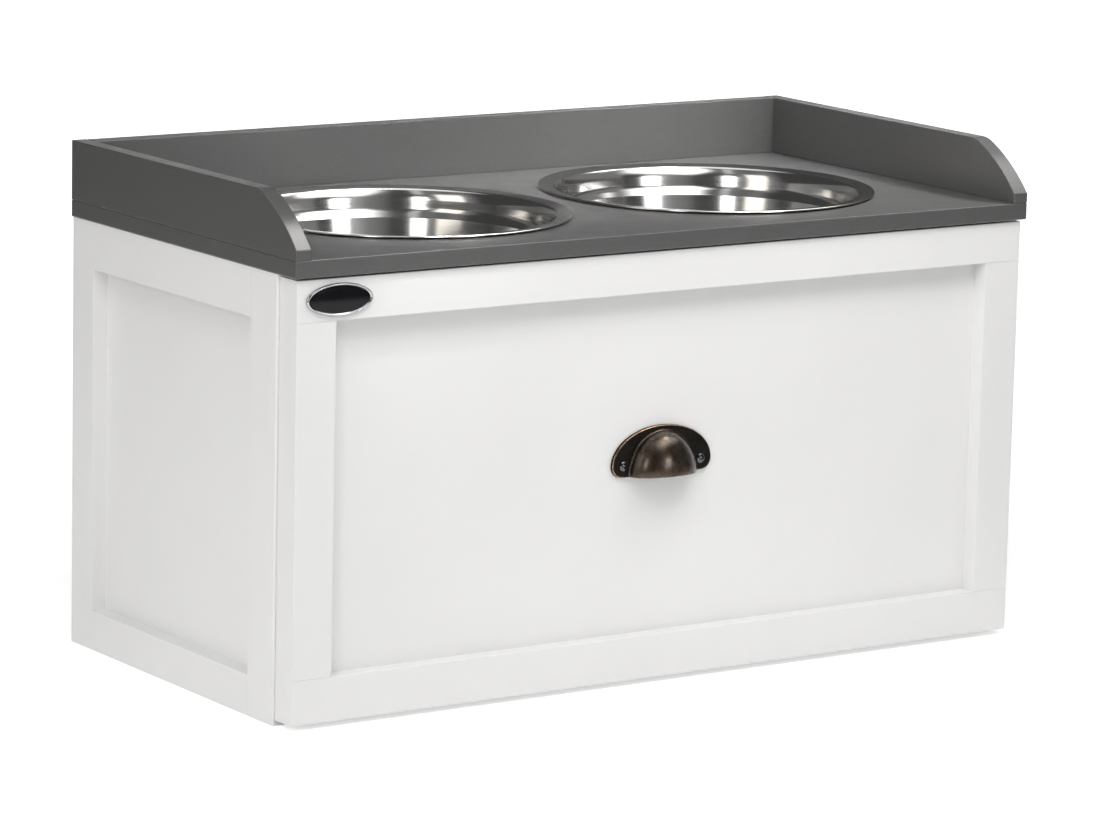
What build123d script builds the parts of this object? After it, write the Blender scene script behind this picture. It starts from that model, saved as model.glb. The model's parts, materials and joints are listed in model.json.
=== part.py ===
from build123d import *
import os

# Elevated dog feeder: a cabinet with one deep drawer, under a top board that holds two steel bowls.
# Millimetres. +X is right seen from the front, +Y goes to the back, +Z is up.
# The origin is on the floor, below the middle of the whole object.

# ---------------------------------------------------------------- driving dimensions

# Top board and the guards that stand on it
BOARD_W = 600
BOARD_D = 300
BOARD_T = 12
CABINET_H = 300  # floor to the underside of the board
GUARD_T = 12
GUARD_H = 41
GUARD_NOSE_H = 6.5  # upright front end of a side guard
GUARD_CURVE_D = 47  # depth over which its top edge comes down
GUARD_CURVE_R = 125
GUARD_SHOULDER_R = 25
GUARD_NOSE_R = 2

# Bowls
BOWL_PITCH = 258
RIM_R = 119.5
HOLE_R = 108.8
STEEL_T = 0.7
RIM_H = 2.4  # heights and depths of a bowl are measured from the top of the board
LIP_FOOT_H = 1.3  # the lip ends above the board; the rim rests on the edge of the hole
SHOULDER_R = 108.6
SHOULDER_H = 1.2
NECK_R = 106.2
NECK_DEPTH = 3.3
WALL_FOOT_R = 104.7
WALL_FOOT_DEPTH = 13.5
STEP_R = 101.8
STEP_DEPTH = 18.6
BOTTOM_R = 93.5
BOWL_DEPTH = 58
BOWL_BENDS = (0.85, 3, 20, 12, 1.4, 16)  # radii of the six bends, from the lip in to the bottom

# Side frames
SIDE_T = 15
SIDE_INSET = 1  # outer face behind the end of the board
SIDE_FRONT_D = 24.3  # front edge behind the board's front edge
SIDE_BACK_INSET = 1
FRONT_STILE_W = 33
BACK_STILE_W = 29
SIDE_TOP_RAIL_H = 33
SIDE_BOTTOM_RAIL_H = 28
SIDE_PANEL_T = 4
RABBET = 5  # how far a side panel reaches behind its frame

# Boards that close and tie the cabinet
BACK_T = 5
BACK_PANEL_D = 289  # its front face behind the board's front edge
BACK_PANEL_Z = 6
BACK_GROOVE = 5
BOTTOM_T = 12
BOTTOM_Z = 8
BOTTOM_FRONT_D = 27
STRETCHER_T = 12
STRETCHER_H = 36
STRETCHER_FRONT_D = 26

# Drawer front: a board with a frame of four strips on it
FACE_D = 3  # face of the frame behind the board's front edge
FACE_INSET = 3  # end of the drawer front inside the end of the board
FRAME_T = 12
FRONT_BOARD_T = 9
FRONT_Z = 4
FRONT_TOP_GAP = 1.5
STILE_W = 30
TOP_RAIL_H = 28
BOTTOM_RAIL_H = 30

# Drawer box
BOX_GAP = 12.5  # between box and cabinet side, for the runners
BOX_T = 12
BOX_Z = 40
BOX_H = 190
BOX_BACK_D = 276
FLOOR_T = 5
FLOOR_UP = 10
SIDE_GROOVE = 4
FRONT_GROOVE = 3

# Runners, in pressed sheet
SHEET = 1.2
RUNNER_Z = 34
RUNNER_H = 33
RUNNER_START_D = 27
RUNNER_L = 256
CHANNEL_W = 10
LIP_H = 3
TOP_RETURN_W = 4
DRAWER_RUNNER_START_D = 25
DRAWER_RUNNER_L = 250
TRACK_OUT = 10.1  # how far the drawer's track reaches towards the cabinet side
TRACK_LIP_H = 3
FOOT_W = 13

# Rollers
ROLLER_R = 9.5
ROLLER_W = 6
ROLLER_BORE_R = 2.05
PIN_R = 2
COLLAR_R = 3.5
PIN_HEAD_T = 0.6
ROLLER_GAP = 0.3  # between a roller and the track it runs on
ROLLER_PLAY = 0.1  # between a roller and the collars beside it
ROLLER_U = 2.6  # near face of a roller, measured from the cabinet side
ROLLER_STEP = 1  # the cabinet's rollers stand this much higher than the drawer's
CABINET_ROLLER_D = 39
DRAWER_ROLLER_D = 264

# Cup pull
PULL_PROUD = 5.5  # how far it stands in front of the board's front edge
PULL_W = 82
PULL_BOTTOM_Z = 143
PULL_EAR_H = 8  # from the flange's lower edge up to the line of its screws
PULL_TOP_H = 26  # from there to the top of the flange
PULL_FLANGE_T = 2.5
PULL_SCREW_PITCH = 64
DOME_HALF_W = 27
DOME_H = 30.5
DOME_T = 1.6
FLANGE_EDGE_R = 1.1
DOME_LIP_R = 0.6

# Oval badge on the drawer's top rail
BADGE_W = 50
BADGE_H = 22
BADGE_T = 2.4
BADGE_RING_W = 2.7
BADGE_FROM_END = 34.7
BADGE_EDGE_R = 1.5
BADGE_INNER_R = 0.6
BADGE_DOME_H = 2.2
BADGE_DOME_SPREAD = 1.19  # the dome's full ellipse over the visible one

# Fasteners
SCREW_R = 1.75
SCREW_HEAD_R = 3.5
SCREW_HEAD_H = 2
GUARD_SCREW_L = 35
BACK_SCREW_L = 16
BOX_SCREW_L = 30
FLOOR_SCREW_L = 16
RUNNER_SCREW_L = 11
RUNNER_HEAD_R = 3
RUNNER_HEAD_H = 1.2
PULL_SCREW_L = 10
PULL_HEAD_R = 3.3
PULL_HEAD_H = 1.8
RECESS_W = 0.8
RECESS_REACH = 0.62  # length of a recess arm over the head's radius
HEAD_DOME_SHARE = 0.75  # how much of a domed head's height is dome
DOWEL_R = 3
DOWEL_L = 24
FRAME_DOWEL_L = 16
CAM_R = 7.5
CAM_T = 9.5
CAM_REACH = 20  # from the joint to the middle of the cam
CAM_BOLT_R = 3
CAM_THREAD_R = 3.5
CAM_THREAD_L = 8
CAM_RECESS = 1.9
HEAD_RECESS = 1.2
PULL_RECESS = 1.25

# Where the fasteners are: D is behind the front edge of the top board
SIDE_GUARD_SCREW_DS = (50, 150, 262)
BACK_GUARD_SCREW_XS = (-225, -75, 75, 225)
FRAME_DOWEL_ZS = (8, 20)  # from either end of a stile
BOTTOM_DOWEL_DS = (125, 205)
STRETCHER_DOWEL_UP = 6
CABINET_CAM_DS = (92, 238)
BACK_SCREW_XS = (-210, -70, 70, 210)
DRAWER_CAM_UP = 32  # from the lower edge of the box
DRAWER_CAM_DOWN = 30  # from its upper edge
BOX_SCREW_UP = 45
BOX_SCREW_DOWN = 40
FLOOR_SCREW_XS = (-180, 0, 180)
CABINET_RUNNER_SCREW_DS = (34, 46, 279)
CABINET_RUNNER_SCREW_DOWN = 4.6  # from the top of the runner, so that the rollers pass below
DRAWER_RUNNER_SCREW_DS = (70, 150, 235)
DRAWER_RUNNER_SCREW_UP = 14

# Eased edges
BOARD_EASE = 1
GUARD_EASE = 0.8
FRAME_EASE = 0.4
SIDE_CORNER_R = 1.5
LOOSE_EASE = 0.6
CLOSE = 0.05  # nearer than this counts as touching when edges are chosen

# ---------------------------------------------------------------- worked-out places

BOARD_TOP = CABINET_H + BOARD_T
GUARD_TOP = BOARD_TOP + GUARD_H
FRONT_Y = (PULL_PROUD - BOARD_D) / 2
BACK_Y = FRONT_Y + BOARD_D
MIDDLE_Y = (FRONT_Y + BACK_Y) / 2
END_X = BOARD_W / 2
SIDE_OUT_X = END_X - SIDE_INSET
SIDE_IN_X = SIDE_OUT_X - SIDE_T
BOX_OUT_X = SIDE_IN_X - BOX_GAP
BOX_IN_X = BOX_OUT_X - BOX_T
HANDS = ((-1, "left"), (1, "right"))


def behind(distance):
    """Y of a point that far behind the front edge of the top board."""
    return FRONT_Y + distance


def across(side, near, far):
    """X span between two distances from the middle, on the left (-1) or the right (+1)."""
    return sorted((side * near, side * far))


SIDE_FRONT_Y = behind(SIDE_FRONT_D)
SIDE_BACK_Y = BACK_Y - SIDE_BACK_INSET
FACE_Y = behind(FACE_D)
PANEL_Y = FACE_Y + FRAME_T
BOX_FRONT_Y = PANEL_Y + FRONT_BOARD_T
BOX_BACK_Y = behind(BOX_BACK_D)
BOX_TOP_Z = BOX_Z + BOX_H
FLOOR_Z = BOX_Z + FLOOR_UP
FRONT_X = END_X - FACE_INSET
FRONT_TOP_Z = CABINET_H - FRONT_TOP_GAP
BACK_PANEL_Y = behind(BACK_PANEL_D)
STRETCHER_Z = CABINET_H - STRETCHER_H
BACK_STRETCHER_Y = BACK_PANEL_Y - STRETCHER_T
FRONT_STRETCHER_Y = behind(STRETCHER_FRONT_D)
DRAWER_ROLLER_Z = RUNNER_Z + SHEET + ROLLER_GAP + ROLLER_R
CABINET_ROLLER_Z = DRAWER_ROLLER_Z + ROLLER_STEP
TRACK_Z = CABINET_ROLLER_Z + ROLLER_R + ROLLER_GAP
CABINET_SCREW_Z = RUNNER_Z + RUNNER_H - CABINET_RUNNER_SCREW_DOWN
DRAWER_SCREW_Z = RUNNER_Z + DRAWER_RUNNER_SCREW_UP
BOTTOM_MID_Z = BOTTOM_Z + BOTTOM_T / 2
STRETCHER_MID_Z = STRETCHER_Z + STRETCHER_H / 2
SIDE_MID_X = SIDE_OUT_X - SIDE_T / 2
PULL_SCREW_Z = PULL_BOTTOM_Z + PULL_EAR_H
PULL_Y = PANEL_Y - PULL_FLANGE_T
DOME_D = PANEL_Y - (FRONT_Y - PULL_PROUD)
BADGE_X = BADGE_FROM_END - END_X
BADGE_Z = FRONT_TOP_Z - TOP_RAIL_H / 2

os.makedirs("parts", exist_ok=True)


def save(piece, name):
    """Label a finished piece and write it to its own file."""
    piece.part.label = name
    export_step(piece.part, f"parts/{name}.step")


# ---------------------------------------------------------------- shapes used more than once


def rectangle_between(x_span, y_span, mode=Mode.ADD):
    """Rectangle between two pairs of coordinates, in the open sketch."""
    with Locations(((x_span[0] + x_span[1]) / 2, (y_span[0] + y_span[1]) / 2)):
        Rectangle(abs(x_span[1] - x_span[0]), abs(y_span[1] - y_span[0]), mode=mode)


def board(name, x_span, y_span, z_span, easing=(), cut_by=()):
    """A flat board: eased where each (choose_edges, radius) says, and cut to the shape of what it holds."""
    with BuildPart() as piece:
        with BuildSketch(Plane.XY.offset(z_span[0])):
            rectangle_between(x_span, y_span)
        extrude(amount=z_span[1] - z_span[0])
        for choose_edges, radius in easing:
            fillet(choose_edges(piece), radius)
        for held in cut_by:
            add(held.part, mode=Mode.SUBTRACT)
    save(piece, name)
    return piece


def face_edges(piece):
    """The edges round the front of a drawer strip."""
    return piece.faces().sort_by(Axis.Y)[0].edges()


def face_edges_below_top(piece):
    """The edges round the front of a drawer stile, without the top one, which is a tight joint."""
    return face_edges(piece).sort_by(Axis.Z)[:-1]


def recess_edges(side, axis, index):
    """Chooser of the edge that a side strip shows towards its panel, on the outer face."""

    def choose(piece):
        outer_face = piece.faces().sort_by(Axis.X)[-1 if side > 0 else 0]
        return outer_face.edges().sort_by(axis)[index]

    return choose


def foot_edges(piece, axis):
    """The long edges round the foot of a guard. Eased, they show its joint with the board as a fine line."""
    return piece.faces().sort_by(Axis.Z)[0].edges().filter_by(axis)


def group(shape, places):
    """Copies of one fastener, as separate solids."""
    with BuildPart() as copies:
        with Locations(*places):
            add(shape.part)
    return copies


def drilled(blanks, recess, places):
    """The same fasteners with the recess for the screwdriver."""
    with BuildPart() as finished:
        add(blanks.part)
        with Locations(*places):
            add(recess.part, mode=Mode.SUBTRACT)
    return finished


def facing(point, direction):
    """Place of a fastener whose head is at the point and faces that way."""
    return Plane(origin=point, z_dir=direction).location


def countersunk_screw(length):
    """Flat-headed screw from the origin down, with a cone under its head and a point."""
    with BuildPart() as screw:
        with BuildSketch(Plane.XZ):
            with BuildLine():
                Polyline(
                    (0, 0),
                    (SCREW_HEAD_R, 0),
                    (SCREW_R, -SCREW_HEAD_H),
                    (SCREW_R, 2 * SCREW_R - length),
                    (0, -length),
                    (0, 0),
                )
            make_face()
        revolve(axis=Axis.Z)
    return screw


def domed_screw(head_r, head_h, length):
    """Screw with a domed head above the origin and its shank below."""
    dome_h = HEAD_DOME_SHARE * head_h
    dome_r = (head_r**2 + dome_h**2) / (2 * dome_h)
    with BuildPart() as screw:
        with BuildSketch(Plane.XZ):
            with BuildLine():
                Polyline(
                    (0, head_h),
                    (0, -length),
                    (SCREW_R, 2 * SCREW_R - length),
                    (SCREW_R, 0),
                    (head_r, 0),
                    (head_r, head_h - dome_h),
                )
                RadiusArc((head_r, head_h - dome_h), (0, head_h), -dome_r)
            make_face()
        revolve(axis=Axis.Z)
    return screw


def cross_recess(head_r, top, depth):
    """The cross that a screwdriver fits, sunk from the top of a head."""
    arm = 2 * head_r * RECESS_REACH
    with BuildPart() as cross:
        with BuildSketch(Plane.XY.offset(top)):
            Rectangle(arm, RECESS_W)
            Rectangle(RECESS_W, arm)
        extrude(amount=-depth)
    return cross


def dowel(length):
    """A plain round peg along +Z, centred on the origin, with chamfered ends."""
    with BuildPart() as peg:
        Cylinder(DOWEL_R, length)
        chamfer(peg.edges().filter_by(GeomType.CIRCLE), LOOSE_EASE)
    return peg


# ---------------------------------------------------------------- fasteners, made first: they cut the boards

guard_screw_places = []
for screw_side, _ in HANDS:
    for screw_d in SIDE_GUARD_SCREW_DS:
        point = (screw_side * (END_X - GUARD_T / 2), behind(screw_d), CABINET_H)
        guard_screw_places.append(facing(point, (0, 0, -1)))
for screw_x in BACK_GUARD_SCREW_XS:
    guard_screw_places.append(facing((screw_x, BACK_Y - GUARD_T / 2, CABINET_H), (0, 0, -1)))
guard_screw_blanks = group(countersunk_screw(GUARD_SCREW_L), guard_screw_places)
flat_recess = cross_recess(SCREW_HEAD_R, 0, SCREW_HEAD_H)
guard_screws = drilled(guard_screw_blanks, flat_recess, guard_screw_places)
save(guard_screws, "guard_screws")

# Dowels in the corners of the two side frames, two to a corner
FRAME_JOINT_YS = (SIDE_FRONT_Y + FRONT_STILE_W, SIDE_BACK_Y - BACK_STILE_W)
frame_dowel_places = []
for dowel_side, _ in HANDS:
    for joint_y in FRAME_JOINT_YS:
        for dowel_z in FRAME_DOWEL_ZS:
            frame_dowel_places.append(facing((dowel_side * SIDE_MID_X, joint_y, dowel_z), (0, 1, 0)))
            upper_point = (dowel_side * SIDE_MID_X, joint_y, CABINET_H - dowel_z)
            frame_dowel_places.append(facing(upper_point, (0, 1, 0)))
side_frame_dowels = group(dowel(FRAME_DOWEL_L), frame_dowel_places)
save(side_frame_dowels, "side_frame_dowels")

# Dowels that locate the bottom and the two stretchers in the sides
cabinet_dowel_places = []
for dowel_side, _ in HANDS:
    dowel_x = dowel_side * SIDE_IN_X
    for dowel_d in BOTTOM_DOWEL_DS:
        cabinet_dowel_places.append(facing((dowel_x, behind(dowel_d), BOTTOM_MID_Z), (1, 0, 0)))
    for stretcher_y in (FRONT_STRETCHER_Y, BACK_STRETCHER_Y):
        point = (dowel_x, stretcher_y + STRETCHER_T / 2, STRETCHER_Z + STRETCHER_DOWEL_UP)
        cabinet_dowel_places.append(facing(point, (1, 0, 0)))
cabinet_dowels = group(dowel(DOWEL_L), cabinet_dowel_places)
save(cabinet_dowels, "cabinet_dowels")

# Knock-down fittings: a bolt screwed into one piece, drawn tight by a cam let into the other
with BuildPart() as cam_bolt:
    with BuildSketch(Plane.XZ):
        rectangle_between((0, CAM_THREAD_R), (-CAM_THREAD_L, 0))
        rectangle_between((0, CAM_BOLT_R), (0, CAM_REACH))
    revolve(axis=Axis.Z)

with BuildPart() as cam:
    with BuildSketch():
        Circle(CAM_R)
    extrude(amount=-CAM_T)


def cam_joints(joints):
    """Bolts, blank cams and finished cams. Each joint is the bolt's point and way, then the cam's."""
    bolts = group(cam_bolt, [facing(point, way) for point, way, _, _ in joints])
    cam_places = [facing(point, way) for _, _, point, way in joints]
    blanks = group(cam, cam_places)
    with BuildPart() as cams:
        add(drilled(blanks, cross_recess(CAM_R, 0, CAM_RECESS), cam_places).part)
        add(bolts.part, mode=Mode.SUBTRACT)
    return bolts, blanks, cams


cabinet_joints = []
for cam_side, _ in HANDS:
    inward = (-cam_side, 0, 0)
    joint_x = cam_side * SIDE_IN_X
    cam_x = joint_x - cam_side * CAM_REACH
    for cam_d in CABINET_CAM_DS:
        cam_y = behind(cam_d)
        bottom_point = (joint_x, cam_y, BOTTOM_MID_Z)
        cabinet_joints.append((bottom_point, inward, (cam_x, cam_y, BOTTOM_Z), (0, 0, -1)))
        top_point = (cam_side * SIDE_MID_X, cam_y, CABINET_H)
        cabinet_joints.append((top_point, (0, 0, -1), (joint_x, cam_y, CABINET_H - CAM_REACH), inward))
    for stretcher_y, cam_face_y, cam_way in (
        (FRONT_STRETCHER_Y, FRONT_STRETCHER_Y + STRETCHER_T, (0, 1, 0)),
        (BACK_STRETCHER_Y, BACK_STRETCHER_Y, (0, -1, 0)),
    ):
        bolt_point = (joint_x, stretcher_y + STRETCHER_T / 2, STRETCHER_MID_Z)
        cabinet_joints.append((bolt_point, inward, (cam_x, cam_face_y, STRETCHER_MID_Z), cam_way))
cabinet_cam_bolts, cabinet_cam_blanks, cabinet_cams = cam_joints(cabinet_joints)
save(cabinet_cam_bolts, "cabinet_cam_bolts")
save(cabinet_cams, "cabinet_cams")

drawer_joints = []
for cam_side, _ in HANDS:
    for cam_z in (BOX_Z + DRAWER_CAM_UP, BOX_TOP_Z - DRAWER_CAM_DOWN):
        bolt_point = (cam_side * (BOX_OUT_X - BOX_T / 2), BOX_FRONT_Y, cam_z)
        cam_point = (cam_side * BOX_IN_X, BOX_FRONT_Y + CAM_REACH, cam_z)
        drawer_joints.append((bolt_point, (0, 1, 0), cam_point, (-cam_side, 0, 0)))
drawer_cam_bolts, drawer_cam_blanks, drawer_cams = cam_joints(drawer_joints)
save(drawer_cam_bolts, "drawer_cam_bolts")
save(drawer_cams, "drawer_cams")

# Screws that hold the back panel to the back stretcher and to the bottom
back_screw_places = []
for screw_x in BACK_SCREW_XS:
    for screw_z in (BOTTOM_MID_Z, STRETCHER_MID_Z):
        back_screw_places.append(facing((screw_x, BACK_PANEL_Y + BACK_T, screw_z), (0, 1, 0)))
back_screw_blanks = group(domed_screw(SCREW_HEAD_R, SCREW_HEAD_H, BACK_SCREW_L), back_screw_places)
domed_recess = cross_recess(SCREW_HEAD_R, SCREW_HEAD_H, HEAD_RECESS)
back_panel_screws = drilled(back_screw_blanks, domed_recess, back_screw_places)
save(back_panel_screws, "back_panel_screws")

# Screws through the box sides into the ends of its back, and up through its floor
box_back_mid_y = BOX_BACK_Y - BOX_T / 2
box_screw_places = []
for screw_side, _ in HANDS:
    for screw_z in (BOX_Z + BOX_SCREW_UP, BOX_TOP_Z - BOX_SCREW_DOWN):
        box_screw_places.append(facing((screw_side * BOX_OUT_X, box_back_mid_y, screw_z), (screw_side, 0, 0)))
box_screw_blanks = group(countersunk_screw(BOX_SCREW_L), box_screw_places)
drawer_back_screws = drilled(box_screw_blanks, flat_recess, box_screw_places)
save(drawer_back_screws, "drawer_back_screws")

floor_screw_places = []
for screw_x in FLOOR_SCREW_XS:
    floor_screw_places.append(facing((screw_x, box_back_mid_y, FLOOR_Z), (0, 0, -1)))
floor_screw_blanks = group(countersunk_screw(FLOOR_SCREW_L), floor_screw_places)
drawer_bottom_screws = drilled(floor_screw_blanks, flat_recess, floor_screw_places)
save(drawer_bottom_screws, "drawer_bottom_screws")

# Flat-headed runner screws: above the track in the cabinet, below it on the drawer
runner_screw = domed_screw(RUNNER_HEAD_R, RUNNER_HEAD_H, RUNNER_SCREW_L)
cabinet_runner_places = []
drawer_runner_places = []
for screw_side, _ in HANDS:
    inward = (-screw_side, 0, 0)
    outward = (screw_side, 0, 0)
    for screw_d in CABINET_RUNNER_SCREW_DS:
        point = (screw_side * (SIDE_IN_X - SHEET), behind(screw_d), CABINET_SCREW_Z)
        cabinet_runner_places.append(facing(point, inward))
    for screw_d in DRAWER_RUNNER_SCREW_DS:
        point = (screw_side * (BOX_OUT_X + SHEET), behind(screw_d), DRAWER_SCREW_Z)
        drawer_runner_places.append(facing(point, outward))
cabinet_runner_screws = group(runner_screw, cabinet_runner_places)
save(cabinet_runner_screws, "cabinet_runner_screws")
drawer_runner_screws = group(runner_screw, drawer_runner_places)
save(drawer_runner_screws, "drawer_runner_screws")

# The two screws of the cup pull
pull_screw_places = []
for screw_side, _ in HANDS:
    pull_screw_places.append(facing((screw_side * PULL_SCREW_PITCH / 2, PULL_Y, PULL_SCREW_Z), (0, -1, 0)))
pull_screw_blanks = group(domed_screw(PULL_HEAD_R, PULL_HEAD_H, PULL_SCREW_L), pull_screw_places)
pull_recess = cross_recess(PULL_HEAD_R, PULL_HEAD_H, PULL_RECESS)
pull_screws = drilled(pull_screw_blanks, pull_recess, pull_screw_places)
save(pull_screws, "pull_screws")

# ---------------------------------------------------------------- top board, guards and bowls

BOWL_CENTRES = [(-BOWL_PITCH / 2, MIDDLE_Y), (BOWL_PITCH / 2, MIDDLE_Y)]

with BuildPart() as top_board:
    with BuildSketch(Plane.XY.offset(CABINET_H)):
        rectangle_between((-END_X, END_X), (FRONT_Y, BACK_Y))
        with Locations(*BOWL_CENTRES):
            Circle(HOLE_R, mode=Mode.SUBTRACT)
    extrude(amount=BOARD_T)
    fillet(top_board.edges().filter_by(GeomType.LINE), BOARD_EASE)
    fillet(top_board.edges().filter_by(GeomType.CIRCLE).filter_by(lambda e: e.radius == HOLE_R), GUARD_EASE)
    add(guard_screw_blanks.part, mode=Mode.SUBTRACT)
    add(cabinet_cam_bolts.part, mode=Mode.SUBTRACT)
save(top_board, "top_board")

# A side guard: upright nose, a long curve up to a soft shoulder, then level to the back
nose_top = (FRONT_Y, BOARD_TOP + GUARD_NOSE_H)
shoulder = (FRONT_Y + GUARD_CURVE_D, GUARD_TOP)
for side, hand in HANDS:
    guard_x = across(side, END_X - GUARD_T, END_X)[0]
    with BuildPart() as side_guard:
        with BuildSketch(Plane.YZ.offset(guard_x)) as outline:
            with BuildLine():
                Polyline(nose_top, (FRONT_Y, BOARD_TOP), (BACK_Y, BOARD_TOP), (BACK_Y, GUARD_TOP), shoulder)
                RadiusArc(shoulder, nose_top, -GUARD_CURVE_R)
            make_face()
            fillet(outline.vertices().sort_by_distance(shoulder)[0], GUARD_SHOULDER_R)
            fillet(outline.vertices().sort_by_distance(nose_top)[0], GUARD_NOSE_R)
        extrude(amount=GUARD_T)
        long_edges = side_guard.faces().filter_by(Axis.X).edges()
        fillet(long_edges.filter_by(lambda e: e.center().Z > BOARD_TOP + CLOSE), GUARD_EASE)
        fillet(foot_edges(side_guard, Axis.Y), FRAME_EASE)
        add(guard_screw_blanks.part, mode=Mode.SUBTRACT)
    save(side_guard, f"{hand}_guard")

back_guard = board(
    "back_guard",
    (GUARD_T - END_X, END_X - GUARD_T),
    (BACK_Y - GUARD_T, BACK_Y),
    (BOARD_TOP, GUARD_TOP),
    easing=[
        (lambda piece: piece.faces().sort_by(Axis.Z)[-1].edges(), GUARD_EASE),
        (lambda piece: foot_edges(piece, Axis.X), FRAME_EASE),
    ],
    cut_by=[guard_screw_blanks],
)


def bowl(centre):
    """Steel bowl hung by its rim: lip, rim, shoulder, curved wall, step, leaning lower wall and flat bottom."""
    profile = [
        (RIM_R, LIP_FOOT_H),
        (RIM_R, RIM_H),
        (SHOULDER_R, SHOULDER_H),
        (NECK_R, -NECK_DEPTH),
        (WALL_FOOT_R, -WALL_FOOT_DEPTH),
        (STEP_R, -STEP_DEPTH),
        (BOTTOM_R, -BOWL_DEPTH),
        (0, -BOWL_DEPTH),
    ]
    middle = (centre[0], centre[1], BOARD_TOP)
    with BuildPart() as dish:
        with BuildSketch(Plane(origin=middle, x_dir=(1, 0, 0), z_dir=(0, -1, 0))):
            with BuildLine():
                FilletPolyline(*profile, radius=BOWL_BENDS)
                offset(amount=STEEL_T, side=Side.RIGHT)
            make_face()
        revolve(axis=Axis(middle, (0, 0, 1)))
    return dish


for (side, hand), centre in zip(HANDS, BOWL_CENTRES):
    save(bowl(centre), f"{hand}_bowl")

# ---------------------------------------------------------------- cabinet

cabinet_fittings = [cabinet_cam_bolts, cabinet_cam_blanks]
for side, hand in HANDS:
    frame_x = across(side, SIDE_IN_X, SIDE_OUT_X)
    front_joint_y, back_joint_y = FRAME_JOINT_YS
    side_panel = board(
        f"{hand}_side_panel",
        across(side, SIDE_IN_X, SIDE_IN_X + SIDE_PANEL_T),
        (front_joint_y - RABBET, back_joint_y + RABBET),
        (SIDE_BOTTOM_RAIL_H - RABBET, CABINET_H - SIDE_TOP_RAIL_H + RABBET),
    )
    held = [side_panel, side_frame_dowels, cabinet_dowels, cabinet_runner_screws] + cabinet_fittings
    board(
        f"{hand}_front_stile",
        frame_x,
        (SIDE_FRONT_Y, front_joint_y),
        (0, CABINET_H),
        easing=[
            (recess_edges(side, Axis.Y, -1), FRAME_EASE),
            (recess_edges(side, Axis.Y, 0), SIDE_CORNER_R),
        ],
        cut_by=held,
    )
    with BuildPart() as groove:
        with BuildSketch(Plane.XY.offset(BACK_PANEL_Z)):
            rectangle_between(across(side, 0, SIDE_IN_X + BACK_GROOVE), (BACK_PANEL_Y, BACK_PANEL_Y + BACK_T))
        extrude(amount=CABINET_H - BACK_PANEL_Z)
    board(
        f"{hand}_back_stile",
        frame_x,
        (back_joint_y, SIDE_BACK_Y),
        (0, CABINET_H),
        easing=[(recess_edges(side, Axis.Y, 0), FRAME_EASE), (recess_edges(side, Axis.Y, -1), FRAME_EASE)],
        cut_by=[groove] + held,
    )
    board(
        f"{hand}_top_rail",
        frame_x,
        (front_joint_y, back_joint_y),
        (CABINET_H - SIDE_TOP_RAIL_H, CABINET_H),
        easing=[(recess_edges(side, Axis.Z, 0), FRAME_EASE)],
        cut_by=held,
    )
    board(
        f"{hand}_bottom_rail",
        frame_x,
        (front_joint_y, back_joint_y),
        (0, SIDE_BOTTOM_RAIL_H),
        easing=[(recess_edges(side, Axis.Z, -1), FRAME_EASE)],
        cut_by=held,
    )

board(
    "back_panel",
    (-SIDE_IN_X - BACK_GROOVE, SIDE_IN_X + BACK_GROOVE),
    (BACK_PANEL_Y, BACK_PANEL_Y + BACK_T),
    (BACK_PANEL_Z, CABINET_H),
    cut_by=[back_screw_blanks],
)
board(
    "bottom_panel",
    (-SIDE_IN_X, SIDE_IN_X),
    (behind(BOTTOM_FRONT_D), BACK_PANEL_Y),
    (BOTTOM_Z, BOTTOM_Z + BOTTOM_T),
    cut_by=[back_screw_blanks, cabinet_dowels] + cabinet_fittings,
)
for name, stretcher_y in (("front_stretcher", FRONT_STRETCHER_Y), ("back_stretcher", BACK_STRETCHER_Y)):
    board(
        name,
        (-SIDE_IN_X, SIDE_IN_X),
        (stretcher_y, stretcher_y + STRETCHER_T),
        (STRETCHER_Z, CABINET_H),
        cut_by=[back_screw_blanks, cabinet_dowels] + cabinet_fittings,
    )

# ---------------------------------------------------------------- runners and rollers


def from_side(side, near, far):
    """X span between two distances from the inner face of a cabinet side."""
    return across(side, SIDE_IN_X - far, SIDE_IN_X - near)


def cabinet_runner(side):
    """Channel on the cabinet side: web, bottom flange with a lip, and a narrow return along the top."""
    with BuildPart() as runner:
        with BuildSketch(Plane.XZ.offset(-behind(RUNNER_START_D + RUNNER_L))):
            rectangle_between(from_side(side, 0, SHEET), (RUNNER_Z, RUNNER_Z + RUNNER_H))
            rectangle_between(from_side(side, 0, CHANNEL_W), (RUNNER_Z, RUNNER_Z + SHEET))
            rectangle_between(from_side(side, CHANNEL_W - SHEET, CHANNEL_W), (RUNNER_Z, RUNNER_Z + LIP_H))
            top_return = (RUNNER_Z + RUNNER_H - SHEET, RUNNER_Z + RUNNER_H)
            rectangle_between(from_side(side, 0, TOP_RETURN_W), top_return)
        extrude(amount=RUNNER_L)
        add(cabinet_runner_screws.part, mode=Mode.SUBTRACT)
    return runner


def drawer_runner(side):
    """Drawer's runner: a foot under the box, a web beside it, and a track that rests on the roller."""
    web = (BOX_GAP - SHEET, BOX_GAP)
    with BuildPart() as runner:
        with BuildSketch(Plane.XZ.offset(-behind(DRAWER_RUNNER_START_D + DRAWER_RUNNER_L))):
            rectangle_between(from_side(side, *web), (BOX_Z - SHEET, TRACK_Z + SHEET))
            rectangle_between(from_side(side, web[0], web[0] + FOOT_W), (BOX_Z - SHEET, BOX_Z))
            track_edge = BOX_GAP - TRACK_OUT
            rectangle_between(from_side(side, track_edge, BOX_GAP), (TRACK_Z, TRACK_Z + SHEET))
            track_lip = (TRACK_Z, TRACK_Z + TRACK_LIP_H)
            rectangle_between(from_side(side, track_edge, track_edge + SHEET), track_lip)
        extrude(amount=DRAWER_RUNNER_L)
        add(drawer_runner_screws.part, mode=Mode.SUBTRACT)
    return runner


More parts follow.
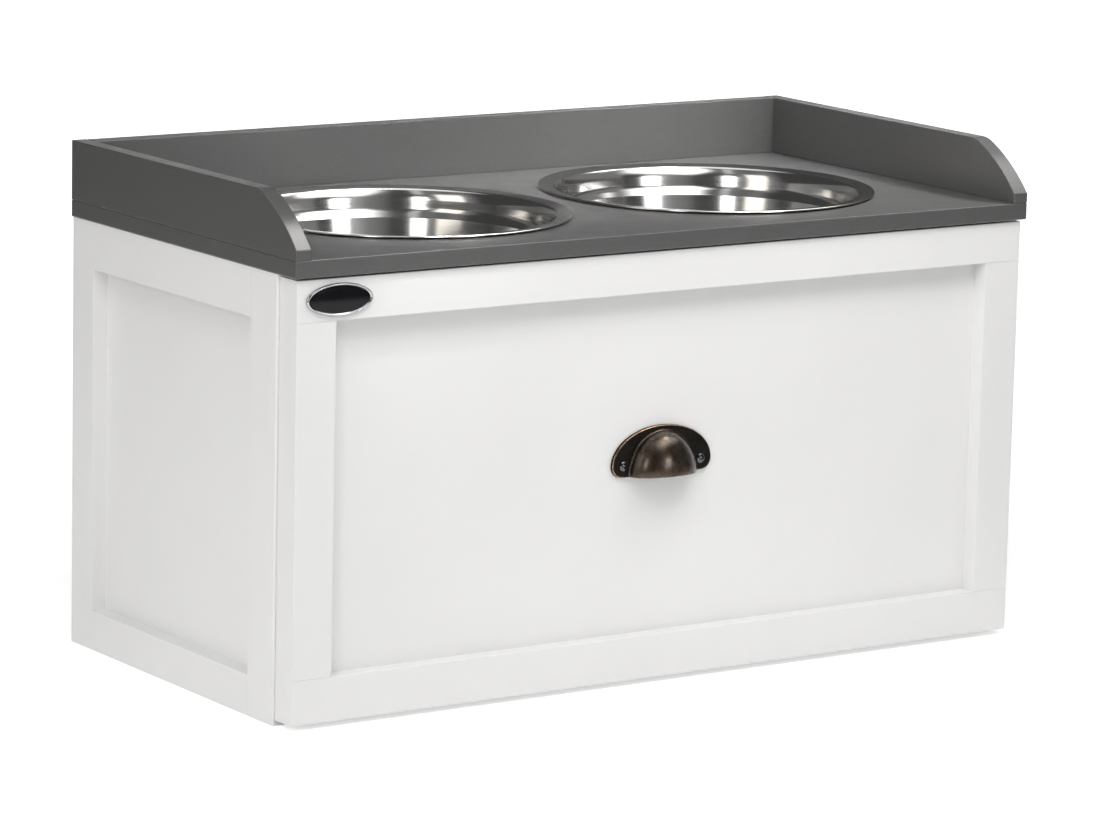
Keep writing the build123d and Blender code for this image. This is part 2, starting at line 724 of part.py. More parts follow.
def round_between(side, near, far, place, radius, mode=Mode.ADD):
    """Cylinder along X between two distances from a cabinet side, in the open part."""
    x_span = from_side(side, near, far)
    with Locations(Plane(origin=(x_span[0], *place), x_dir=(0, 1, 0), z_dir=(1, 0, 0))):
        Cylinder(radius, x_span[1] - x_span[0], align=(Align.CENTER, Align.CENTER, Align.MIN), mode=mode)


ROLLER_FAR = ROLLER_U + ROLLER_W
CABINET_ROLLER_AT = (behind(CABINET_ROLLER_D), CABINET_ROLLER_Z)
DRAWER_ROLLER_AT = (behind(DRAWER_ROLLER_D), DRAWER_ROLLER_Z)

with BuildPart() as cabinet_roller_pins:
    for side, hand in HANDS:
        round_between(side, SHEET, ROLLER_U - ROLLER_PLAY, CABINET_ROLLER_AT, COLLAR_R)
        round_between(side, 0, ROLLER_FAR + ROLLER_PLAY, CABINET_ROLLER_AT, PIN_R)
        head_start = ROLLER_FAR + ROLLER_PLAY
        round_between(side, head_start, head_start + PIN_HEAD_T, CABINET_ROLLER_AT, COLLAR_R)
save(cabinet_roller_pins, "cabinet_roller_pins")

with BuildPart() as drawer_roller_pins:
    for side, hand in HANDS:
        round_between(side, ROLLER_FAR + ROLLER_PLAY, BOX_GAP - SHEET, DRAWER_ROLLER_AT, COLLAR_R)
        round_between(side, ROLLER_U - ROLLER_PLAY, BOX_GAP, DRAWER_ROLLER_AT, PIN_R)
        head_start = ROLLER_U - ROLLER_PLAY - PIN_HEAD_T
        round_between(side, head_start, head_start + PIN_HEAD_T, DRAWER_ROLLER_AT, COLLAR_R)
save(drawer_roller_pins, "drawer_roller_pins")


def roller(side, place):
    """Plastic roller with a bore for its pin."""
    with BuildPart() as wheel:
        round_between(side, ROLLER_U, ROLLER_FAR, place, ROLLER_R)
        fillet(wheel.edges().filter_by(GeomType.CIRCLE), LOOSE_EASE)
        round_between(side, ROLLER_U, ROLLER_FAR, place, ROLLER_BORE_R, Mode.SUBTRACT)
    return wheel


for side, hand in HANDS:
    for runner, pins, name in (
        (cabinet_runner(side), cabinet_roller_pins, f"{hand}_cabinet_runner"),
        (drawer_runner(side), drawer_roller_pins, f"{hand}_drawer_runner"),
    ):
        with BuildPart() as bored:
            add(runner.part)
            add(pins.part, mode=Mode.SUBTRACT)
        save(bored, name)
    save(roller(side, CABINET_ROLLER_AT), f"{hand}_cabinet_roller")
    save(roller(side, DRAWER_ROLLER_AT), f"{hand}_drawer_roller")

# ---------------------------------------------------------------- drawer

STRIP_Y = (FACE_Y, PANEL_Y)
RAIL_X = (-FRONT_X, FRONT_X)
board("drawer_top_rail", RAIL_X, STRIP_Y, (FRONT_TOP_Z - TOP_RAIL_H, FRONT_TOP_Z), [(face_edges, FRAME_EASE)])
board("drawer_bottom_rail", RAIL_X, STRIP_Y, (FRONT_Z, FRONT_Z + BOTTOM_RAIL_H), [(face_edges, FRAME_EASE)])
for side, hand in HANDS:
    board(
        f"drawer_{hand}_stile",
        across(side, FRONT_X - STILE_W, FRONT_X),
        STRIP_Y,
        (FRONT_Z + BOTTOM_RAIL_H, FRONT_TOP_Z - TOP_RAIL_H),
        [(face_edges_below_top, FRAME_EASE)],
    )

drawer_bottom = board(
    "drawer_bottom",
    (-BOX_IN_X - SIDE_GROOVE, BOX_IN_X + SIDE_GROOVE),
    (BOX_FRONT_Y - FRONT_GROOVE, BOX_BACK_Y),
    (FLOOR_Z, FLOOR_Z + FLOOR_T),
    cut_by=[floor_screw_blanks],
)
board(
    "drawer_front_board",
    RAIL_X,
    (PANEL_Y, BOX_FRONT_Y),
    (FRONT_Z, FRONT_TOP_Z),
    cut_by=[drawer_bottom, drawer_cam_bolts, pull_screw_blanks],
)
board(
    "drawer_back",
    (-BOX_IN_X, BOX_IN_X),
    (BOX_BACK_Y - BOX_T, BOX_BACK_Y),
    (FLOOR_Z + FLOOR_T, BOX_TOP_Z),
    easing=[(lambda piece: piece.faces().sort_by(Axis.Z)[-1].edges().filter_by(Axis.X), LOOSE_EASE)],
    cut_by=[box_screw_blanks, floor_screw_blanks],
)
for side, hand in HANDS:
    board(
        f"drawer_{hand}_side",
        across(side, BOX_IN_X, BOX_OUT_X),
        (BOX_FRONT_Y, BOX_BACK_Y),
        (BOX_Z, BOX_TOP_Z),
        easing=[(lambda piece: piece.faces().sort_by(Axis.Z)[-1].edges().filter_by(Axis.Y), LOOSE_EASE)],
        cut_by=[drawer_bottom, box_screw_blanks, drawer_cam_bolts, drawer_cam_blanks, drawer_runner_screws],
    )

# ---------------------------------------------------------------- cup pull and badge


def ellipsoid(rx, ry, rz):
    """Ellipsoid about the origin: (x/rx)^2 + (y/ry)^2 + (z/rz)^2 = 1."""
    return scale(Sphere(rx), by=(1, ry / rx, rz / rx))


DOME_CENTRE = (0, PANEL_Y, PULL_BOTTOM_Z)
outer_dome = Pos(*DOME_CENTRE) * ellipsoid(DOME_HALF_W, DOME_D, DOME_H)
inner_dome = Pos(*DOME_CENTRE) * ellipsoid(DOME_HALF_W - DOME_T, DOME_D - DOME_T, DOME_H - DOME_T)

with BuildPart() as dome:
    add(outer_dome)
    add(inner_dome, mode=Mode.SUBTRACT)
    split(bisect_by=Plane.XY.offset(PULL_BOTTOM_Z), keep=Keep.TOP)
    split(bisect_by=Plane.XZ.offset(-PANEL_Y), keep=Keep.TOP)


def at_dome_lip(edge):
    """Whether this is an edge of the dome's open lower side."""
    return abs(edge.center().Z - PULL_BOTTOM_Z) < CLOSE and edge.center().Y < PULL_Y - DOME_D / 2


# The flange: half an ellipse above the line of the screws, a round ear at either end below it.
# The wall of the dome starts at the panel, and the flange is cut away inside the middle of that wall.
with BuildPart() as cup_pull:
    with BuildSketch(Plane.XZ.offset(-PANEL_Y)):
        with Locations((0, PULL_SCREW_Z)):
            Ellipse(PULL_W / 2, PULL_TOP_H)
        rectangle_between((-PULL_W, PULL_W), (0, PULL_SCREW_Z), Mode.SUBTRACT)
        with Locations((0, PULL_SCREW_Z)):
            SlotOverall(PULL_W, 2 * PULL_EAR_H)
        with Locations((-PULL_SCREW_PITCH / 2, PULL_SCREW_Z), (PULL_SCREW_PITCH / 2, PULL_SCREW_Z)):
            Circle(SCREW_R, mode=Mode.SUBTRACT)
    extrude(amount=PULL_FLANGE_T)
    fillet(cup_pull.faces().sort_by(Axis.Y)[0].outer_wire().edges(), FLANGE_EDGE_R)
    with BuildSketch(Plane.XZ.offset(-PANEL_Y)):
        with Locations((0, PULL_BOTTOM_Z)):
            Ellipse(DOME_HALF_W - DOME_T / 2, DOME_H - DOME_T / 2)
    extrude(amount=PULL_FLANGE_T, mode=Mode.SUBTRACT)
    add(dome.part)
    fillet(cup_pull.edges().filter_by(at_dome_lip), DOME_LIP_R)
save(cup_pull, "cup_pull")

BADGE_PLANE = Plane(origin=(BADGE_X, FACE_Y, BADGE_Z), x_dir=(1, 0, 0), z_dir=(0, -1, 0))
FACE_RX = BADGE_W / 2 - BADGE_RING_W
FACE_RZ = BADGE_H / 2 - BADGE_RING_W

with BuildPart() as badge_bezel:
    with BuildSketch(BADGE_PLANE):
        Ellipse(BADGE_W / 2, BADGE_H / 2)
        Ellipse(FACE_RX, FACE_RZ, mode=Mode.SUBTRACT)
    extrude(amount=BADGE_T)
    rims = badge_bezel.faces().sort_by(Axis.Y)[0].edges().sort_by(SortBy.LENGTH)
    fillet(rims[-1], BADGE_EDGE_R)
    fillet(rims[0], BADGE_INNER_R)
save(badge_bezel, "badge_bezel")

wide_face = ellipsoid(FACE_RX * BADGE_DOME_SPREAD, FACE_RZ * BADGE_DOME_SPREAD, BADGE_DOME_H)
placed_dome = BADGE_PLANE * wide_face
with BuildPart() as badge_face:
    with BuildSketch(BADGE_PLANE):
        Ellipse(FACE_RX, FACE_RZ)
    extrude(amount=BADGE_T)
    add(placed_dome, mode=Mode.INTERSECT)
save(badge_face, "badge_face")
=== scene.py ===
# %% [markdown]
# # A raised dog feeder with a storage drawer
#
# The object is a small white cabinet with one deep drawer. A dark grey board lies on it, with low guards
# on three sides, and two polished steel bowls hang in the board. The CAD model already has every board,
# screw and runner in its place, in metres, with +X to the right, +Y to the back and +Z up. This lesson
# keeps those boards, gives them finishes, and works out the pieces that need finer surfaces: the bowls,
# the cup pull and the oval badge.

# %% load the CAD model
import json

import bmesh
import bpy
import numpy as np
from mathutils import Euler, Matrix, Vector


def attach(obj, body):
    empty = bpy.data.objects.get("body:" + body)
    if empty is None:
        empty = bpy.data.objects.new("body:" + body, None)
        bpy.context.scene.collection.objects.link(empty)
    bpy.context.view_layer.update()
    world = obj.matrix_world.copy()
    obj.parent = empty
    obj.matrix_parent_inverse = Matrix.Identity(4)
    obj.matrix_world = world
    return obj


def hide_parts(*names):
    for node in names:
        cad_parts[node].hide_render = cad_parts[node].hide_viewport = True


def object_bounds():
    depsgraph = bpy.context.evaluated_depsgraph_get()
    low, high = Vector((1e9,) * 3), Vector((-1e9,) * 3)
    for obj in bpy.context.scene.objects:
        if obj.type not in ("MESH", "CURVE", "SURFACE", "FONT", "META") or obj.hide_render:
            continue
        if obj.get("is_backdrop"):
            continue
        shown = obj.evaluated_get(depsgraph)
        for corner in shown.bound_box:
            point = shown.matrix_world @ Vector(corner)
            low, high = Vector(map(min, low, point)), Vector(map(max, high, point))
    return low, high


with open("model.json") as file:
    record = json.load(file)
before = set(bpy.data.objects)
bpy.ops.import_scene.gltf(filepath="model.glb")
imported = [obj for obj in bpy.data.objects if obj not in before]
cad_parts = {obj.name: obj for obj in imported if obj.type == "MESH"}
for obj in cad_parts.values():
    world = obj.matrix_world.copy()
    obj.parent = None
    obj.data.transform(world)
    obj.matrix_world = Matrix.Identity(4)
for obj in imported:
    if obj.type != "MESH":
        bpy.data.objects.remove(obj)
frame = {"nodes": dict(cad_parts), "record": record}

cad_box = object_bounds()
nodes = frame["nodes"]

# %% [markdown]
# ## The camera
#
# A photograph fixes a camera by seven numbers: three for its place, three for its turn and one for its
# focal length. They were found by matching the corners of the boards, whose sizes are known. A long lens
# from well back keeps the edges of the cabinet nearly parallel.

# %% camera
CAMERA_PLACE = (-1.97483, -2.92852, 0.83135)
CAMERA_TURN = (79.2805, -1.2673, -33.7255)  # degrees about X, Y and Z
LENS = 167.844  # millimetres
SENSOR_WIDTH = 36  # millimetres
FARTHEST_SEEN = 100  # metres

camera_data = bpy.data.cameras.new("camera")
camera_data.sensor_width = SENSOR_WIDTH
camera_data.lens = LENS
camera_data.clip_end = FARTHEST_SEEN
camera = bpy.data.objects.new("camera", camera_data)
camera.location = CAMERA_PLACE
camera.rotation_euler = Euler(np.radians(CAMERA_TURN))
bpy.context.scene.collection.objects.link(camera)
bpy.context.scene.camera = camera
bpy.context.scene.view_settings.view_transform = "Standard"
print("camera", LENS, "mm at", CAMERA_PLACE)

# %% [markdown]
# ## Helpers for shader nodes
#
# Every finish below is a small network of nodes. A few helpers keep the networks readable. One adds a
# node and fills its sockets, one starts a material, and the others make the steps that come up again and
# again: sums, mixtures, noise, ranges, colours and relief.


# %% node helpers
# the sockets of the Mix node that carry colours
COLOUR_A, COLOUR_B, COLOUR_OUT = 6, 7, 2


def add_node(tree, kind, inputs=None, **settings):
    """A node of the given kind. Values fill its inputs, and sockets are linked to them."""
    node = tree.nodes.new(kind)
    for key, value in settings.items():
        setattr(node, key, value)
    for key, value in (inputs or {}).items():
        if isinstance(value, bpy.types.NodeSocket):
            tree.links.new(value, node.inputs[key])
        else:
            node.inputs[key].default_value = value
    return node


def new_material(name):
    """An empty material: its node tree and its principled shader, already joined to the output."""
    material = bpy.data.materials.new(name)
    material.use_nodes = True
    tree = material.node_tree
    tree.nodes.clear()
    shader = add_node(tree, "ShaderNodeBsdfPrincipled")
    output = add_node(tree, "ShaderNodeOutputMaterial")
    tree.links.new(shader.outputs["BSDF"], output.inputs["Surface"])
    return material, tree, shader


def maths(tree, operation, *values):
    """The result of one sum. Each value is a number or a socket."""
    return add_node(tree, "ShaderNodeMath", dict(enumerate(values)), operation=operation).outputs[0]


def dot(tree, vector, way):
    """How far a vector reaches along a fixed way: their dot product."""
    node = add_node(tree, "ShaderNodeVectorMath", {0: vector, 1: way}, operation="DOT_PRODUCT")
    return node.outputs["Value"]


def length(tree, vector):
    """The length of a vector."""
    return add_node(tree, "ShaderNodeVectorMath", {0: vector}, operation="LENGTH").outputs["Value"]


def blend(tree, factor, first, second):
    """A number between two, each a number or a socket, by a factor from 0 to 1."""
    inputs = {"Factor": factor, "A": first, "B": second}
    return add_node(tree, "ShaderNodeMix", inputs, data_type="FLOAT").outputs[0]


def ray_kinds(tree):
    """Two sockets: 1 for the camera's own rays, and 1 for rays that a mirror or glass has sent on."""
    path = add_node(tree, "ShaderNodeLightPath").outputs
    return path["Is Camera Ray"], maths(tree, "MAXIMUM", path["Is Glossy Ray"], path["Is Transmission Ray"])


def noise(tree, scale, detail=3.0, roughness=0.5, stretch=(1, 1, 1)):
    """A noise pattern on object coordinates. The scale counts features per metre."""
    place = add_node(tree, "ShaderNodeTexCoord").outputs["Object"]
    mapping = add_node(tree, "ShaderNodeMapping", {"Vector": place, "Scale": stretch})
    inputs = {"Vector": mapping.outputs["Vector"], "Scale": scale, "Detail": detail, "Roughness": roughness}
    return add_node(tree, "ShaderNodeTexNoise", inputs).outputs["Fac"]


def spread(tree, value, low, high, span=(0.3, 0.7)):
    """The pattern's value, moved from its own span to the range between low and high."""
    inputs = {"Value": value, "From Min": span[0], "From Max": span[1], "To Min": low, "To Max": high}
    return add_node(tree, "ShaderNodeMapRange", inputs).outputs["Result"]


def tint(tree, factor, dark, light):
    """A colour between two, each a triple or a socket, by a factor from 0 to 1."""
    inputs = {"Factor": factor}
    for socket, colour in ((COLOUR_A, dark), (COLOUR_B, light)):
        inputs[socket] = colour if isinstance(colour, bpy.types.NodeSocket) else (*colour, 1)
    return add_node(tree, "ShaderNodeMix", inputs, data_type="RGBA").outputs[COLOUR_OUT]


def relief(tree, height, depth):
    """A bump of the given depth in metres."""
    inputs = {"Height": height, "Distance": depth, "Strength": 1.0}
    return add_node(tree, "ShaderNodeBump", inputs).outputs["Normal"]


# %% [markdown]
# ## Floor, walls and light
#
# The feeder stands in a photographer's studio: a white floor that runs on into a white background, with
# soft boxes around. The floor is a real surface, so it keeps the shadow. Its own faint glow, only for
# the camera and for reflections, brings the open floor up to white without lighting the object more.

# %% floor
FLOOR_HALF = 14  # metres
FLOOR_ROUGHNESS = 0.9
PAPER_WHITE = (0.9, 0.9, 0.9)
STUDIO_FLOOR = (0.12, 0.12, 0.12)
PAPER_EDGE = (1.0, 1.5)  # metres from the middle of the paper, where it ends softly
FULL_GLOW = 1.0  # beside the paper
CAMERA_GLOW = (0.50, 0.95)  # near the object and far from it
GLOW_SPAN = (0.4, 1.9)  # metres from the object, for the two above
VIEW_WAY = (0.56, 0.83, 0.0)  # level, from the camera to the object; the paper is rolled out along it
PAPER_ACROSS = (0.83, -0.56, 0.0)

floor_mesh = bpy.data.meshes.new("floor")
corners = [(x * FLOOR_HALF, y * FLOOR_HALF, 0) for x, y in ((-1, -1), (1, -1), (1, 1), (-1, 1))]
floor_mesh.from_pydata(corners, [], [(0, 1, 2, 3)])
floor = bpy.data.objects.new("floor", floor_mesh)
bpy.context.scene.collection.objects.link(floor)
floor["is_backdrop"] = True

floor_material, tree, shader = new_material("studio_floor")
shader.inputs["Roughness"].default_value = FLOOR_ROUGHNESS
shader.inputs["Specular IOR Level"].default_value = 0.0
place = add_node(tree, "ShaderNodeTexCoord").outputs["Object"]
off_middle = maths(tree, "ABSOLUTE", dot(tree, place, PAPER_ACROSS))
on_paper = spread(tree, off_middle, 1, 0, span=PAPER_EDGE)
tree.links.new(tint(tree, on_paper, STUDIO_FLOOR, PAPER_WHITE), shader.inputs["Base Color"])
near_glow = spread(tree, length(tree, place), *CAMERA_GLOW, span=GLOW_SPAN)
camera_glow = blend(tree, on_paper, FULL_GLOW, near_glow)
from_camera, in_mirror = ray_kinds(tree)
mirror_glow = maths(tree, "MULTIPLY", maths(tree, "MULTIPLY", on_paper, near_glow), in_mirror)
shader.inputs["Emission Color"].default_value = (1, 1, 1, 1)
tree.links.new(blend(tree, from_camera, mirror_glow, camera_glow), shader.inputs["Emission Strength"])
floor_mesh.materials.append(floor_material)
print("floor", 2 * FLOOR_HALF, "m wide")

# %% [markdown]
# The world is the rest of the studio. It gives an even white light to everything, and is white where the
# camera looks straight at it. Polished bowls show what stands in the room, so they get a darker room:
# white paper behind the object, a bright ceiling, and walls that are grey in some places and dark in
# others.

# %% world
ROOM_LIGHT = 0.37  # on matt surfaces
CEILING = 1.1  # in a mirror, like the rest below
CEILING_RISE = (0.82, 0.94)  # the ceiling begins between these heights, as sines
PAPER_RISE = (0.08, 0.22)  # the paper behind the object ends between these heights
PAPER_REACH = (0.88, 0.94)  # and at the sides between these shares of the way to it
WALLS = [
    (-180, 0.36),
    (-172, 0.22),
    (-160, 0.15),
    (-152, 0.06),
    (-140, 0.05),
    (-117, 0.18),
    (-106, 0.13),
    (-93, 0.21),
    (-80, 0.05),
    (15, 0.05),
    (95, 0.20),
    (143, 0.20),
    (148, 0.05),
    (160, 0.05),
    (166, 0.30),
    (180, 0.40),
]  # compass bearing, and how bright the wall is there

world = bpy.data.worlds.new("studio")
world.use_nodes = True
bpy.context.scene.world = world
tree = world.node_tree
tree.nodes.clear()
way = add_node(tree, "ShaderNodeTexCoord").outputs["Generated"]
level = add_node(tree, "ShaderNodeSeparateXYZ", {"Vector": way}).outputs
bearing = maths(tree, "ARCTAN2", level["X"], level["Y"])
side_walls = add_node(tree, "ShaderNodeValToRGB", {"Fac": spread(tree, bearing, 0, 1, span=(-np.pi, np.pi))})
stops = side_walls.color_ramp.elements  # a new ramp has two stops, for the first and the last wall
for turn, _ in WALLS[1:-1]:
    stops.new((turn + 180) / 360)
for stop, (_, shade) in zip(stops, WALLS):
    stop.color = (shade, shade, shade, 1)
overhead = spread(tree, level["Z"], 0, 1, span=CEILING_RISE)
walls = blend(tree, overhead, side_walls.outputs["Color"], CEILING)
behind = spread(tree, dot(tree, way, VIEW_WAY), 0, 1, span=PAPER_REACH)
low = spread(tree, level["Z"], 1, 0, span=PAPER_RISE)
mirrored = blend(tree, maths(tree, "MULTIPLY", behind, low), walls, 1.0)
from_camera, in_mirror = ray_kinds(tree)
strength = blend(tree, from_camera, blend(tree, in_mirror, ROOM_LIGHT, mirrored), 1.0)
background = add_node(tree, "ShaderNodeBackground", {"Color": (1, 1, 1, 1), "Strength": strength})
output = add_node(tree, "ShaderNodeOutputWorld")
tree.links.new(background.outputs[0], output.inputs["Surface"])
print("room light", ROOM_LIGHT, "walls in a mirror", WALLS)

# %% [markdown]
# The soft boxes are written down by the part of the room that they fill, as seen from the bowls: from
# one compass bearing to another (0 is straight behind the object, 90 is to its right) and from one
# height to another. A lamp of the right width and height, set out that far and turned to the bowls,
# fills exactly that part. The largest hangs high in front; two upright strips and two cards stand
# round the camera. Three kinds of helpers join them. Narrow lamps light only the tray. Edge lamps show
# only in reflections, where they draw the curved guard ends and the eased edges. The key and the fills
# do the opposite: they light the white boards and stay out of the mirrors. The key comes from the upper
# left, so the frame of the drawer front throws a faint shade beside its left stile.

# %% soft boxes
EYE = np.array([0.0, 0.0, 0.31])  # metres, between the mouths of the bowls
WHITE = (1.0, 1.0, 1.0)
WARM = (1.0, 0.982, 0.97)
CREAM = (1.0, 0.95, 0.86)


def hem_fade(cloth, on_lamp, hem):
    """1 in the middle of a lamp, falling smoothly to 0 across the hem at its edges."""
    off_middle = maths(cloth, "ABSOLUTE", maths(cloth, "SUBTRACT", on_lamp, 0.5))
    inputs = {"Value": off_middle, "From Min": 0.5 - hem, "From Max": 0.5, "To Min": 1.0, "To Max": 0.0}
    return add_node(cloth, "ShaderNodeMapRange", inputs, interpolation_type="SMOOTHSTEP").outputs["Result"]


def soft_box(
    name,
    bearings,
    heights,
    distance,
    radiance,
    colour=WHITE,
    spread_angle=180,
    shift=(0, 0, 0),
    hem=0.12,
    unseen="",
):
    """A rectangular lamp between two bearings and two heights, in degrees, with that brightness per area.

    Its middle is the eye plus distance (cos h sin b, cos h cos b, sin h). A lamp of power P and area A
    that shines on one side has the radiance P / (pi A). Towards its edges the cloth is dimmer: across
    the hem, a share of its width and height, the brightness falls smoothly to nothing. A lamp unseen by
    diffuse rays shows only in reflections, and one unseen by glossy rays only lights the matt surfaces.
    The spread angle is the width of the lamp's beam, and the shift moves the lamp, in metres.
    """
    bearing, height = np.radians(np.mean(bearings)), np.radians(np.mean(heights))
    half_turn = np.radians(np.ptp(bearings)) / 2
    half_rise = np.radians(np.ptp(heights)) / 2
    data = bpy.data.lights.new(name, "AREA")
    data.shape = "RECTANGLE"
    data.size = 2 * distance * np.cos(height) * np.tan(half_turn)
    data.size_y = 2 * distance * np.tan(half_rise)
    data.energy = radiance * np.pi * data.size * data.size_y
    data.color = colour
    data.spread = np.radians(spread_angle)
    lamp = bpy.data.objects.new(name, data)
    out = np.array([np.cos(height) * np.sin(bearing), np.cos(height) * np.cos(bearing), np.sin(height)])
    lamp.location = EYE + distance * out + shift
    lamp.rotation_euler = Euler((np.pi / 2 - height, 0, np.pi - bearing))
    lamp.visible_camera = False
    lamp.visible_diffuse = unseen != "diffuse"
    lamp.visible_glossy = unseen != "glossy"
    bpy.context.scene.collection.objects.link(lamp)
    data.use_nodes = True
    cloth = data.node_tree
    on_lamp = add_node(cloth, "ShaderNodeNewGeometry").outputs["Parametric"]
    sides = add_node(cloth, "ShaderNodeSeparateXYZ", {"Vector": on_lamp}).outputs
    bright = maths(cloth, "MULTIPLY", hem_fade(cloth, sides["X"], hem), hem_fade(cloth, sides["Y"], hem))
    cloth.links.new(bright, cloth.nodes["Emission"].inputs["Strength"])


# what stands round the camera, as the polished steel shows it
soft_box("high_front", (115, 209), (22, 68), 0.6, 4.2, WARM, hem=0.4)
soft_box("right_strip", (160, 176), (-1, 16.5), 2.9, 7.0, hem=0.2, unseen="diffuse")
soft_box("left_strip", (225, 239), (-1, 25), 1.9, 5.0, hem=0.3)
soft_box("left_card", (226, 238), (28, 60), 1.9, 0.5, hem=0.25)
soft_box("warm_card", (246, 269), (-2, 36), 1.2, 1.5, CREAM, hem=0.15)
# a narrow lamp for the tray, and edge lamps
soft_box("tray_light", (126, 206), (55, 70), 0.8, 2.75, spread_angle=14, shift=(0.01, 0.052, 0))
soft_box("edge_light", (98, 150), (54, 74), 1.5, 9.0, WARM, hem=0.3, unseen="diffuse")
soft_box("edge_card", (80, 122), (28, 56), 1.5, 3.0, WARM, hem=0.3, unseen="diffuse")
# the key and the fills, and a narrow lamp for the tray's right end
soft_box("key_light", (206, 240), (30, 56), 2.4, 5.5, unseen="glossy")
soft_box("side_fill", (240, 290), (0, 22), 2.9, 1.0, unseen="glossy")
soft_box("low_fill", (118, 168), (-8, 8), 2.2, 1.1, unseen="glossy")
soft_box("end_light", (40, 80), (50, 66), 0.8, 1.9, spread_angle=20, shift=(0.21, -0.07, 0), unseen="glossy")
print(len(bpy.data.lights), "soft boxes")

# %% [markdown]
# ## Surfaces from numpy grids
#
# A smooth piece is worked out as a grid of points: rows in one direction, columns in the other, with the
# last column joined to the first. The grid becomes a mesh in one go. Where a row shrinks to a point, or
# where the last row comes back to the first, the doubled points are merged, and then all faces are
# turned outwards together.


# %% grid helpers
MERGE_WITHIN = 2e-6  # metres
SLIVER = 1e-7  # edges shorter than this go


def grid_faces(rows, columns):
    """Corner numbers of the four-sided faces of a grid whose last column meets its first."""
    row, column = np.meshgrid(np.arange(rows - 1), np.arange(columns), indexing="ij")
    after = (column + 1) % columns
    near, far = row * columns, (row + 1) * columns
    return np.stack([near + column, near + after, far + after, far + column], axis=-1).reshape(-1, 4)


def make_piece(name, grid, body, sharp, values=None):
    """A smooth mesh from a grid of points (rows, columns, 3), riding on a body of the model.

    Edges that turn by more than sharp, in degrees, stay sharp. Values are numbers for each point.
    """
    points, faces = grid.reshape(-1, 3), grid_faces(*grid.shape[:2])
    mesh = bpy.data.meshes.new(name)
    mesh.vertices.add(len(points))
    mesh.vertices.foreach_set("co", np.asarray(points, dtype=np.float32).ravel())
    mesh.loops.add(faces.size)
    mesh.loops.foreach_set("vertex_index", faces.astype(np.int32).ravel())
    mesh.polygons.add(len(faces))
    mesh.polygons.foreach_set("loop_start", np.arange(0, faces.size, 4, dtype=np.int32))
    mesh.update(calc_edges=True)
    for key, numbers in (values or {}).items():
        attribute = mesh.attributes.new(key, "FLOAT", "POINT")
        attribute.data.foreach_set("value", np.asarray(numbers, np.float32).ravel())
    work = bmesh.new()
    work.from_mesh(mesh)
    bmesh.ops.remove_doubles(work, verts=work.verts, dist=MERGE_WITHIN)
    bmesh.ops.dissolve_degenerate(work, edges=work.edges, dist=SLIVER)
    bmesh.ops.recalc_face_normals(work, faces=work.faces)
    work.to_mesh(mesh)
    work.free()
    mesh.shade_smooth()
    mesh.set_sharp_from_angle(angle=np.radians(sharp))
    piece = bpy.data.objects.new(name, mesh)
    bpy.context.scene.collection.objects.link(piece)
    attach(piece, body)
    print(name, len(mesh.polygons), "faces")
    return piece


# %% [markdown]
# ## The bowls
#
# A stainless bowl is pressed from one round sheet, then polished. Its edge is turned down into a small
# lip, and a step half-way down the wall lets bowls stack. Any circular piece could be turned with the
# Screw modifier, but then the bends would need many hand-placed points. Here the profile is a line with
# rounded corners, worked out exactly, and it is carried round a full circle.


# %% rounded profile
def rounded_line(corners, radii, steps):
    """Points along a line with rounded corners, and the unit normals on its left.

    At each corner the two runs are tangent to an arc. The arc starts before the corner by radius times
    the tangent of half the turn, and sweeps through the turn about its centre.
    """
    corners = np.asarray(corners, float)
    runs = np.diff(corners, axis=0)
    runs /= np.linalg.norm(runs, axis=1)[:, None]
    lefts = np.stack([-runs[:, 1], runs[:, 0]], axis=1)
    points, normals = [corners[:1]], [lefts[:1]]
    for corner, before, after, radius in zip(corners[1:-1], lefts[:-1], lefts[1:], radii):
        turn = np.arctan2(before[0] * after[1] - before[1] * after[0], before @ after)
        side = np.sign(turn)
        ahead = np.array([before[1], -before[0]])
        centre = corner - ahead * radius * np.tan(abs(turn) / 2) + side * before * radius
        angle = np.linspace(0, turn, steps)[:, None]
        normal = before * np.cos(angle) - ahead * np.sin(angle)
        points.append(centre - side * normal * radius)
        normals.append(normal)
    points.append(corners[-1:])
    normals.append(lefts[-1:])
    return np.concatenate(points), np.concatenate(normals)


# %% bowls
BOARD_TOP = 0.312
BOWL_X = 0.129
BOWL_Y = 0.00275
STEEL = 0.0007
BOWL_CORNERS = [
    (0.1195, 0.0013),
    (0.1195, 0.0024),
    (0.1086, 0.0012),
    (0.1062, -0.0033),
    (0.1047, -0.0135),
    (0.1018, -0.0186),
    (0.0935, -0.0580),
    (0.0, -0.0580),
]  # radius and height over the board
BOWL_BENDS = [0.00085, 0.003, 0.020, 0.012, 0.0014, 0.016]
BEND_STEPS = 14
BOTTOM_STEPS = 11


